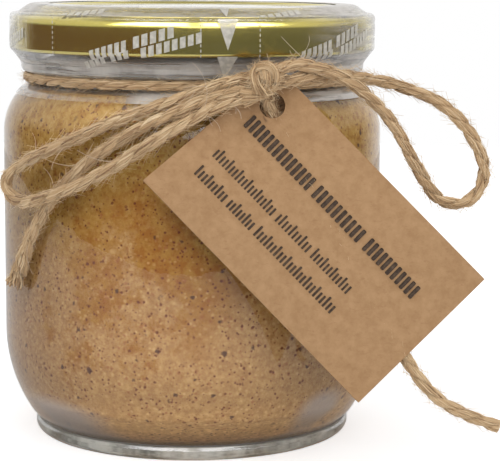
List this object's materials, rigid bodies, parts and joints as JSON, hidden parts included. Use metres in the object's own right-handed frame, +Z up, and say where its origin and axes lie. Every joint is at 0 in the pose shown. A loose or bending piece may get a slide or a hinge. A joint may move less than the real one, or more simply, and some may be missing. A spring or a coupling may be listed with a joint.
{
  "type": "hazelnut butter jar",
  "caption": "Squat glass twist-off jar filled with hazelnut butter, with a gold lid, a clear security band, a twine bow and a kraft card tag.",
  "frame": {"origin": "centre of the jar's foot, on the surface that it stands on", "axes": "+Z up along the jar's axis; the bow and the tag hang on the -Y side, and the tag reaches towards +X"},
  "size_m": [0.1098, 0.0967, 0.0994],
  "materials": {
    "clear_glass": "clear flint glass, polished",
    "nut_butter": "grainy ground hazelnut with an oily upper part and dark specks",
    "gold_tinplate": "glossy gold lacquer",
    "clear_film": "clear shrink film with white print",
    "jute_twine": "two-ply twisted jute, fuzzy",
    "kraft_card": "plain matte kraft card with dark bars"
  },
  "bodies": {
    "root": {"glass_jar": "clear_glass", "hazelnut_butter": "nut_butter", "lid": "gold_tinplate", "security_band": "clear_film", "neck_twine": "jute_twine", "knot": "jute_twine", "left_loop": "jute_twine", "right_loop": "jute_twine", "left_end": "jute_twine", "right_end": "jute_twine", "tag": "kraft_card"}
  },
  "joints": []
}
